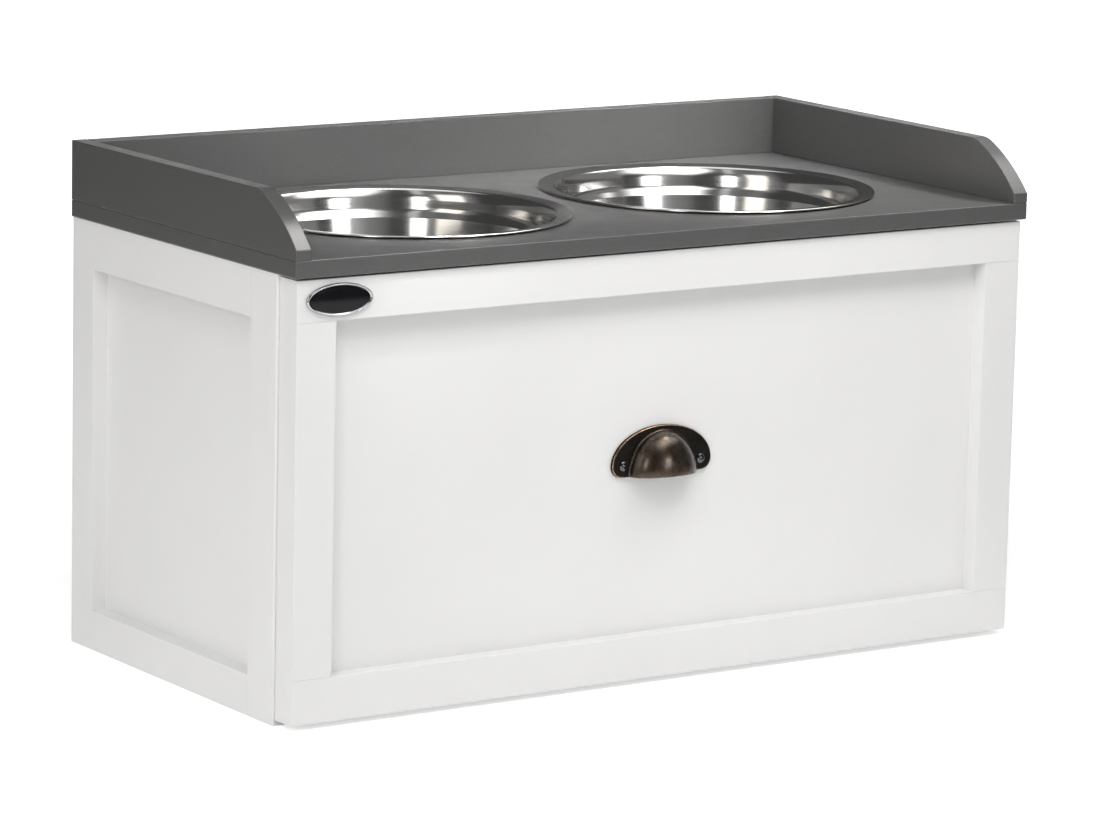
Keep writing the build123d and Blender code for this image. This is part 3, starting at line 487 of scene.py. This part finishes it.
def bowl_points(centre_x, around=256):
    """The bowl's closed profile, turned about its axis.

    The inner skin runs from the middle of the bottom out to the lip, and the outer skin runs back one
    sheet thickness away, along the normals. Each profile point (r, z) becomes (r cos a, r sin a, z).
    """
    skin, normal = rounded_line(BOWL_CORNERS, BOWL_BENDS, BEND_STEPS)
    bottom = np.linspace(skin[-2, 0], 0, BOTTOM_STEPS + 1)[1:]
    skin = np.concatenate([skin[:-1], np.stack([bottom, np.full(BOTTOM_STEPS, skin[-1, 1])], axis=1)])
    normal = np.concatenate([normal[:-1], np.repeat(normal[-1:], BOTTOM_STEPS, axis=0)])
    under = skin + normal * STEEL
    under[-1, 0] = 0  # the outer skin ends on the axis too
    profile = np.concatenate([skin[::-1], under])
    angle = np.linspace(0, 2 * np.pi, around, endpoint=False)
    radius = profile[:, :1]
    height = np.repeat(BOARD_TOP + profile[:, 1:], around, axis=1)
    return np.stack([centre_x + radius * np.cos(angle), BOWL_Y + radius * np.sin(angle), height], axis=-1)


bowls = {}
for hand, side in (("left", -1), ("right", 1)):
    turned = bowl_points(side * BOWL_X)
    bowls[hand] = make_piece(f"{hand}_bowl_steel", turned, f"{hand}_bowl", sharp=50)
    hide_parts(f"{hand}_bowl")

# %% [markdown]
# ## The cup pull
#
# The pull is a cast half-cup on a flat flange. The cup is a quarter of an ellipsoid: level slices of it
# are half ellipses that shrink upwards. Each slice is made a closed loop: over the outside, down a small
# fillet on to the flange, and back along the inside. The lowest rows roll the two skins together into a
# round lip, which is what the fingers feel. A ball cut in four by booleans would be quicker, but its
# faces would be uneven just at the fillet and the lip, where the metal catches the light.

# %% pull: the cup
PANEL_Y = -0.13225
PULL_Z = 0.143
FLANGE_T = 0.0025
CUP_OUT = (0.027, 0.0205, 0.0305)  # half width, depth and height, outside
CUP_IN = (0.0254, 0.0189, 0.0289)
ROOT_R = 0.0012
LIP_R = 0.0007
INNER_FOOT = 0.0004  # the inner skin ends this far in front of the panel
FULLNESS = 0.8
FRONT_LIFT = 0.0012  # the lip is this much higher at the front than at the flange
LIP_RUB = 0.15  # how far the finish is rubbed off on the lip
RUB_HEIGHT = 0.0012  # and how fast that fades upwards


def cup_slices(size, u, foot, count):
    """Level slices of a cup: half ellipses from the depth foot on one side round to the other.

    With u the level and p the way round: x = a cos u cos p, depth = d (cos u)^f sin p, z = h sin u.
    A fullness f below 1 keeps the cup deep nearly up to its top.
    """
    half_width, depth, height = size
    start = np.arcsin(np.clip(foot / (depth * np.cos(u) ** FULLNESS), 0, 1))
    p = start + (np.pi - 2 * start) * np.linspace(0, 1, count)
    across = half_width * np.cos(u) * np.cos(p)
    return np.stack([across, depth * np.cos(u) ** FULLNESS * np.sin(p), height * np.sin(u) + 0 * p], axis=-1)


def cup_fillet(outside, foot, steps):
    """The turn from the cup's side on to the flange, away from the cup in the plane of the flange."""
    shrink = np.sqrt(1 - (foot / CUP_OUT[1]) ** 2)
    x, z = outside[:, 0, 0], outside[:, 0, 2]
    slope = np.stack([x / (CUP_OUT[0] * shrink) ** 2, z / (CUP_OUT[2] * shrink) ** 2], axis=-1)
    slope /= np.linalg.norm(slope, axis=1)[:, None]
    bend = np.linspace(np.pi / 2, 0, steps, endpoint=False)
    away = ROOT_R * (1 - np.cos(bend))
    down = np.repeat((foot - ROOT_R * np.sin(bend))[None], len(x), axis=0)
    return np.stack([x[:, None] + slope[:, :1] * away, down, z[:, None] + slope[:, 1:] * away], axis=-1)


def cup_loops(levels=56, arc=84, root=8, lip=7):
    """Closed loops from the lip to the top of the cup, as points (x, depth, z) from the foot of the cup.

    The lip is half a turn: from the middle between the skins, each skin's foot is drawn in by cos t and
    down by the lip's radius times sin t. Last, the lip is lifted at the front, by the square of its depth.
    """
    foot = FLANGE_T + ROOT_R
    top = np.arccos((foot / CUP_OUT[1]) ** (1 / FULLNESS))
    u = np.linspace(np.arcsin(LIP_R / CUP_OUT[2]), top, levels)[:, None]
    outside = cup_slices(CUP_OUT, u, foot, arc)
    fillet = cup_fillet(outside, foot, root)
    skin = np.concatenate([fillet, outside, fillet[:, ::-1] * (-1, 1, 1)], axis=1)
    inside = cup_slices(CUP_IN, u, INNER_FOOT, skin.shape[1])
    inside[..., 2] += LIP_R * (1 - CUP_IN[2] / CUP_OUT[2]) * np.cos(u)
    turn = np.linspace(np.pi / 2, 0, lip, endpoint=False)[:, None, None]
    middle = (skin[0] + inside[0]) / 2
    drop = np.array([0, 0, LIP_R]) * np.sin(turn)
    outer = np.concatenate([middle + (skin[0] - middle) * np.cos(turn) - drop, skin])
    inner = np.concatenate([middle + (inside[0] - middle) * np.cos(turn) - drop, inside])
    closed = np.concatenate([outer, inner[:, ::-1]], axis=1)
    low = 1 - closed[..., 2] / CUP_OUT[2]
    closed[..., 2] += FRONT_LIFT * low * (closed[..., 1] / CUP_OUT[1]) ** 2
    return closed


def on_panel(local):
    """Points (x, depth, z) of the pull, placed on the drawer's panel."""
    return np.stack([local[..., 0], PANEL_Y - local[..., 1], PULL_Z + local[..., 2]], axis=-1)


loops = cup_loops()
cup_rub = np.exp(-loops[..., 2] / RUB_HEIGHT) * LIP_RUB
cup = make_piece("cup_pull_cup", on_panel(loops), "drawer", sharp=60, values={"rub": cup_rub})

# %% [markdown]
# The flange under the cup is half an ellipse with a round ear at either end. It is a band between two
# curves: the wall of the cup inside, the outline outside. Its section, carried along the band, has a
# rounded front edge, where handling rubs the dark finish down to bare copper. A filled and bevelled
# curve would give the same outline, but no row of points of its own for that rubbed edge. The two ends of
# the band, at the foot of the ears, are open at first, and each is closed by a flat face.

# %% pull: the flange
FLANGE_HALF = 0.041
FLANGE_RISE = 0.026
EAR_R = 0.008
EAR_X = FLANGE_HALF - EAR_R
EDGE_R = 0.0011
UNDER_CUP = 0.0008  # the flange reaches this far under the wall of the cup
FLANGE_BACK = 0.0002  # its back is this far in front of the panel
FACE_POINTS = 8
EDGE_POINTS = 6
EDGE_RUB = [0.25, 0.8, 0.9, 0.35]  # on the first points of the round edge


def flange_outline(count=120, ear_count=18):
    """Points and outward normals round the flange, from one ear over the top to the other.

    The ears are quarter circles about (+-ear_x, ear_r); between them x = a cos t, z = ear_r + b sin t.
    """
    quarter = np.linspace(-np.pi / 2, 0, ear_count, endpoint=False)
    t = np.linspace(0, np.pi, count)
    ear = np.stack([EAR_X + EAR_R * np.cos(quarter), EAR_R + EAR_R * np.sin(quarter)], axis=1)
    ear_normal = np.stack([np.cos(quarter), np.sin(quarter)], axis=1)
    over = np.stack([FLANGE_HALF * np.cos(t), EAR_R + FLANGE_RISE * np.sin(t)], axis=1)
    over_normal = np.stack([np.cos(t) / FLANGE_HALF, np.sin(t) / FLANGE_RISE], axis=1)
    over_normal /= np.linalg.norm(over_normal, axis=1)[:, None]
    flip = np.array([-1, 1])
    points = np.concatenate([ear, over, ear[::-1] * flip])
    normals = np.concatenate([ear_normal, over_normal, ear_normal[::-1] * flip])
    return points, normals


edge, edge_normal = flange_outline()
t = np.linspace(0, np.pi, len(edge))
wall = np.stack([(CUP_OUT[0] - UNDER_CUP) * np.cos(t), (CUP_OUT[2] - UNDER_CUP) * np.sin(t)], axis=1)
inset = edge - edge_normal * EDGE_R
share = np.linspace(0, 1, FACE_POINTS)[None, :, None]
flat_face = wall[:, None] * (1 - share) + inset[:, None] * share
bend = np.linspace(0, np.pi / 2, EDGE_POINTS + 1)[1:]
round_edge = inset[:, None] + edge_normal[:, None] * EDGE_R * np.sin(bend)[None, :, None]
section = np.concatenate([flat_face, round_edge, edge[:, None], wall[:, None]], axis=1)
edge_depth = FLANGE_T - EDGE_R * (1 - np.cos(bend))
depth = np.concatenate([np.full(FACE_POINTS, FLANGE_T), edge_depth, [FLANGE_BACK, FLANGE_BACK]])
rub = np.zeros(len(depth))
rub[FACE_POINTS : FACE_POINTS + len(EDGE_RUB)] = EDGE_RUB
depth, rub = (np.repeat(values[None], len(edge), axis=0) for values in (depth, rub))
band = np.stack([section[..., 0], depth, section[..., 1]], axis=-1)
flange = make_piece("cup_pull_flange", on_panel(band), "drawer", sharp=50, values={"rub": rub})
work = bmesh.new()
work.from_mesh(flange.data)
bmesh.ops.holes_fill(work, edges=[e for e in work.edges if e.is_boundary], sides=0)
bmesh.ops.recalc_face_normals(work, faces=work.faces)
work.to_mesh(flange.data)
work.free()
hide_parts("cup_pull")
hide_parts("cup_pull")

# %% [markdown]
# ## The badge
#
# At the upper left of the drawer front sits a small oval badge: a bright ring round a glossy black face,
# left bare here. The ring is a rounded section carried along an ellipse. The face is a shallow dome,
# worked out from its middle to its edge.

# %% badge
BADGE_AT = (-0.2653, -0.14425, 0.2845)
RING_HALF = (0.025, 0.011)
RING_W = 0.0020
RING_H = 0.0024
RING_CORNERS = [(0, 0), (0, 0.0015), (0.0007, RING_H), (0.0012, RING_H), (RING_W, 0.0014), (RING_W, 0)]
RING_BENDS = [0.0004, 0.0004, 0.0005, 0.0002]
FACE_H = 0.0019
FACE_DROP = 0.0007  # the face is this much lower at its edge than in its middle
FACE_ROWS = 14
HIDDEN_LAP = 0.0001  # the face reaches this far under the ring, and stays this far off the board
BADGE_AROUND = 160


def ellipse_ring(count):
    """Points and outward normals of the badge's outline: (a cos t, b sin t)."""
    t = np.linspace(0, 2 * np.pi, count, endpoint=False)
    points = np.stack([RING_HALF[0] * np.cos(t), RING_HALF[1] * np.sin(t)], axis=1)
    normals = np.stack([np.cos(t) / RING_HALF[0], np.sin(t) / RING_HALF[1]], axis=1)
    return points, normals / np.linalg.norm(normals, axis=1)[:, None]


def on_front(flat, height):
    """Points of the badge: x and z in its own plane, height out from the drawer front."""
    flat, height = np.broadcast_arrays(flat, height[..., None])
    x = BADGE_AT[0] + flat[..., 0]
    return np.stack([x, BADGE_AT[1] - height[..., 0], BADGE_AT[2] + flat[..., 1]], axis=-1)


outline, outward = ellipse_ring(BADGE_AROUND)
profile, _ = rounded_line(RING_CORNERS, RING_BENDS, 7)
ring = outline[None] - outward[None] * profile[:, 0, None, None]
ring = on_front(ring, np.repeat(profile[:, 1:], BADGE_AROUND, axis=1))
closed_ring = np.concatenate([ring, ring[:1]])
badge_ring = make_piece("badge_ring", closed_ring, "drawer", sharp=40)
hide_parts("badge_bezel")

inner_edge = outline - outward * (RING_W - HIDDEN_LAP)
share = np.linspace(0, 1, FACE_ROWS)
dome = np.concatenate([FACE_H - FACE_DROP * share**2, [HIDDEN_LAP]])
disc = inner_edge[None] * np.concatenate([share, [1.0]])[:, None, None]
front = on_front(disc, np.repeat(dome[:, None], BADGE_AROUND, axis=1))
back = on_front(np.zeros((1, BADGE_AROUND, 2)), np.full((1, BADGE_AROUND), HIDDEN_LAP))
closed_face = np.concatenate([front, back])
badge_face = make_piece("badge_black_face", closed_face, "drawer", sharp=40)
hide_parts("badge_face")

# %% [markdown]
# ## Finishes
#
# White boards are lacquered: a satin coat over smooth board. Sprayed lacquer is never quite flat, so a
# fine orange-peel relief breaks the reflections a little, and the white varies by about one part in
# forty.


# %% white lacquer
def lacquer(name, shade, roughness):
    """Satin lacquer: a near-even colour, a fine relief and a slightly uneven gloss."""
    material, tree, shader = new_material(name)
    cloud = spread(tree, noise(tree, 9, 4), 0, 1)
    dark = tuple(0.975 * part for part in shade)
    tree.links.new(tint(tree, cloud, dark, shade), shader.inputs["Base Color"])
    gloss = spread(tree, noise(tree, 60, 3), roughness - 0.04, roughness + 0.05)
    tree.links.new(gloss, shader.inputs["Roughness"])
    orange_peel = noise(tree, 420, 2)
    tree.links.new(relief(tree, orange_peel, 0.00002), shader.inputs["Normal"])
    return material


white_board = lacquer("white_lacquer", (0.80, 0.80, 0.795), 0.38)
back_board = lacquer("white_foil", (0.76, 0.76, 0.75), 0.5)
print(white_board.name, "and", back_board.name)

# %% [markdown]
# The top board and its guards have a dark grey matt foil. It has a very fine grain, which spreads the
# light, and tiny lighter flecks. Where the foil is drawn over a bend, its grain is pressed flat and it
# shines more. On a flat face the largest part of the normal is 1, on a bend it is less.

# %% grey foil
FOIL_DARK = (0.080, 0.0795, 0.079)
FOIL_LIGHT = (0.093, 0.0925, 0.091)
FOIL_ROUGHNESS = (0.285, 0.33)
BEND_ROUGHNESS = 0.17
FLATNESS = (0.85, 0.995)  # the largest part of the normal, on a bend and on a flat face

grey_board, tree, shader = new_material("grey_foil")
fleck = spread(tree, noise(tree, 900, 2), 0, 1, span=(0.35, 0.75))
tree.links.new(tint(tree, fleck, FOIL_DARK, FOIL_LIGHT), shader.inputs["Base Color"])
normal = add_node(tree, "ShaderNodeNewGeometry").outputs["Normal"]
parts = add_node(tree, "ShaderNodeSeparateXYZ", {"Vector": normal}).outputs
sizes = [maths(tree, "ABSOLUTE", parts[axis]) for axis in "XYZ"]
largest = maths(tree, "MAXIMUM", maths(tree, "MAXIMUM", sizes[0], sizes[1]), sizes[2])
flatness = spread(tree, largest, 0, 1, span=FLATNESS)
flat_roughness = spread(tree, noise(tree, 45, 3), *FOIL_ROUGHNESS)
tree.links.new(blend(tree, flatness, BEND_ROUGHNESS, flat_roughness), shader.inputs["Roughness"])
tree.links.new(relief(tree, noise(tree, 1400, 2), 0.00003), shader.inputs["Normal"])
print(grey_board.name)

# %% [markdown]
# Polished steel is a mirror with faint rings from the polishing wheel. The rings follow the radius from
# the axis of each bowl, so each bowl has its own centre in the Mapping node.


# %% polished steel
def polished_steel(name, centre_x):
    """Mirror steel whose faint polishing rings depend only on the distance from the bowl's axis."""
    material, tree, shader = new_material(name)
    shader.inputs["Metallic"].default_value = 1.0
    place = add_node(tree, "ShaderNodeTexCoord").outputs["Object"]
    centred = add_node(tree, "ShaderNodeMapping", {"Vector": place, "Location": (-centre_x, -BOWL_Y, 0)})
    axes = add_node(tree, "ShaderNodeSeparateXYZ", {"Vector": centred.outputs["Vector"]}).outputs
    level = add_node(tree, "ShaderNodeCombineXYZ", {"X": axes["X"], "Y": axes["Y"]}).outputs["Vector"]
    polar = add_node(tree, "ShaderNodeCombineXYZ", {"X": length(tree, level), "Z": axes["Z"]})
    inputs = {"Vector": polar.outputs["Vector"], "Scale": 1500, "Detail": 2}
    rings = add_node(tree, "ShaderNodeTexNoise", inputs).outputs["Fac"]
    tree.links.new(spread(tree, rings, 0.10, 0.15), shader.inputs["Roughness"])
    smear = spread(tree, noise(tree, 25, 3), 0, 1)
    tree.links.new(tint(tree, smear, (0.74, 0.735, 0.72), (0.80, 0.795, 0.78)), shader.inputs["Base Color"])
    tree.links.new(relief(tree, rings, 0.0000012), shader.inputs["Normal"])
    return material


for hand, side in (("left", -1), ("right", 1)):
    bowls[hand].data.materials.append(polished_steel(f"polished_steel_{hand}", side * BOWL_X))
    print(bowls[hand].data.materials[0].name)

# %% [markdown]
# The pull has an oil-rubbed finish: dark brown, with copper showing where hands rub it. The rub attribute
# of the two meshes says where that is. The flange is painted shade: a nearly black copy of the same bronze
# that stands in for the dark reflection on its face.

# %% oil-rubbed bronze
BARE_COPPER = (0.46, 0.30, 0.19)


def oil_rubbed(name, dark, light, lacquer_share):
    """Dark metal, partly under a clear lacquer, with bare copper where the rub attribute is high."""
    material, tree, shader = new_material(name)
    shader.inputs["Metallic"].default_value = 0.95
    shader.inputs["Coat Weight"].default_value = lacquer_share
    shader.inputs["Coat Roughness"].default_value = 0.16
    mottle = spread(tree, noise(tree, 160, 4, 0.6), 0, 1)
    worn = add_node(tree, "ShaderNodeAttribute", attribute_name="rub").outputs["Fac"]
    patchy = maths(tree, "MULTIPLY", worn, spread(tree, noise(tree, 500, 3), 0.4, 1.2))
    colour = tint(tree, patchy, tint(tree, mottle, dark, light), BARE_COPPER)
    tree.links.new(colour, shader.inputs["Base Color"])
    tree.links.new(spread(tree, noise(tree, 220, 3), 0.24, 0.36), shader.inputs["Roughness"])
    tree.links.new(relief(tree, noise(tree, 700, 3), 0.00006), shader.inputs["Normal"])
    return material


bronze = oil_rubbed("oil_rubbed_bronze", (0.036, 0.026, 0.018), (0.085, 0.061, 0.043), 0.5)
# painted shade: the flange's copy of the bronze is nearly black, standing in for the dark reflection on its face
painted_shade_flange = oil_rubbed("oil_rubbed_flange_painted_shade", (0.007, 0.006, 0.005), (0.014, 0.012, 0.010), 0.04)
cup.data.materials.append(bronze)
flange.data.materials.append(painted_shade_flange)
print(bronze.name, "and", painted_shade_flange.name)

# %% [markdown]
# The small metal parts are all plated, turned or cast steel and zinc. One recipe serves them: a metal
# with its own colour, a fine scratch or grain pattern, and a roughness that varies with it.


# %% small metal parts
def plain_metal(name, dark, light, roughness, grain=900, depth=0.00001, stretch=(1, 1, 1), metallic=1.0):
    """A metal whose colour and gloss both follow one fine grain."""
    material, tree, shader = new_material(name)
    shader.inputs["Metallic"].default_value = metallic
    pattern = noise(tree, grain, 3, 0.6, stretch)
    tree.links.new(tint(tree, spread(tree, pattern, 0, 1), dark, light), shader.inputs["Base Color"])
    tree.links.new(spread(tree, pattern, roughness * 0.8, roughness * 1.25), shader.inputs["Roughness"])
    tree.links.new(relief(tree, pattern, depth), shader.inputs["Normal"])
    return material


# slot: name, dark and light colour, roughness, and what else differs
METALS = {
    "screw_steel": ("zinc_plated_screws", (0.30, 0.30, 0.31), (0.46, 0.46, 0.47), 0.32, {}),
    "black_screw": ("blackened_screws", (0.03, 0.03, 0.032), (0.06, 0.06, 0.064), 0.45, {"metallic": 0.6}),
    "badge_chrome": (
        "smoked_chrome",
        (0.40, 0.405, 0.41),
        (0.50, 0.505, 0.51),
        0.08,
        {"grain": 1500, "depth": 0.000002},
    ),
    "pin_steel": (
        "turned_pins",
        (0.42, 0.42, 0.43),
        (0.60, 0.60, 0.61),
        0.28,
        {"grain": 700, "stretch": (9, 1, 1)},
    ),
    "cam_zinc": ("cast_zinc", (0.33, 0.33, 0.34), (0.46, 0.46, 0.47), 0.5, {"grain": 500, "depth": 0.00004}),
}
finish = {"white_board": white_board, "back_board": back_board, "grey_board": grey_board, "bronze": bronze}
for slot, (name, dark, light, roughness, more) in METALS.items():
    finish[slot] = plain_metal(name, dark, light, roughness, **more)
dark_screws = plain_metal("dark_plated_screws", (0.05, 0.05, 0.052), (0.15, 0.15, 0.155), 0.2, 700, 0.00002)
print("metals:", ", ".join(METALS), "and the pull's dark screws")

# %% [markdown]
# The rest is plastic, powder coat and bare wood. Powder coat has a pebbled skin, nylon rollers are a
# little cloudy, and beech dowels are mottled by the short flecks in their wood. One recipe with other
# numbers serves them all, and the black face of the badge too.


# %% plastic, powder coat and wood
def plain_coat(name, dark, light, roughness, grain, depth):
    """A non-metal with a cloudy colour and a fine pebbled relief."""
    material, tree, shader = new_material(name)
    cloud = spread(tree, noise(tree, grain / 8, 3), 0, 1)
    tree.links.new(tint(tree, cloud, dark, light), shader.inputs["Base Color"])
    pebbles = noise(tree, grain, 2)
    tree.links.new(spread(tree, pebbles, roughness * 0.85, roughness * 1.15), shader.inputs["Roughness"])
    tree.links.new(relief(tree, pebbles, depth), shader.inputs["Normal"])
    return material


# slot: name, dark and light colour, roughness, grain and depth
COATS = {
    "badge_black": ("glossy_black", (0.004, 0.004, 0.005), (0.007, 0.007, 0.008), 0.14, 600, 0.000002),
    "runner_white": ("powder_coat", (0.74, 0.74, 0.73), (0.80, 0.80, 0.79), 0.42, 1100, 0.00003),
    "roller_plastic": ("cloudy_nylon", (0.74, 0.74, 0.71), (0.82, 0.82, 0.80), 0.35, 500, 0.00001),
    "dowel_wood": ("bare_beech", (0.55, 0.38, 0.22), (0.72, 0.54, 0.35), 0.6, 900, 0.00004),
}
for slot, settings in COATS.items():
    finish[slot] = plain_coat(*settings)
finish["badge_black"].node_tree.nodes["Principled BSDF"].inputs["Specular IOR Level"].default_value = 0.25
badge_ring.data.materials.append(finish["badge_chrome"])
badge_face.data.materials.append(finish["badge_black"])
print("coats:", ", ".join(COATS))

# %% [markdown]
# Every CAD piece names its slot in the record, and gets the finish of that slot. The CAD bowls have been
# replaced and are never seen, so their slot needs no finish of its own. Only the two screws of the pull
# are darker than the other screws.

# %% give every CAD piece the finish of its slot
slot_of = {entry["node"]: entry["material_slot"] for entry in frame["record"]["subparts"]}
finish_of = {name: finish.get(slot, finish["screw_steel"]) for name, slot in slot_of.items()}
finish_of["pull_screws"] = dark_screws
for name, node in nodes.items():
    node.data.materials.clear()
    node.data.materials.append(finish_of[name])
print(len(slot_of), "pieces finished with", len(finish), "materials")

# %% [markdown]
# ## Done
#
# The size of the visual model is printed beside that of the CAD model.

# %% sizes
sizes = {"cad": [list(map(float, c)) for c in cad_box], "visual": [list(map(float, c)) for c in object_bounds()]}
print(sizes)
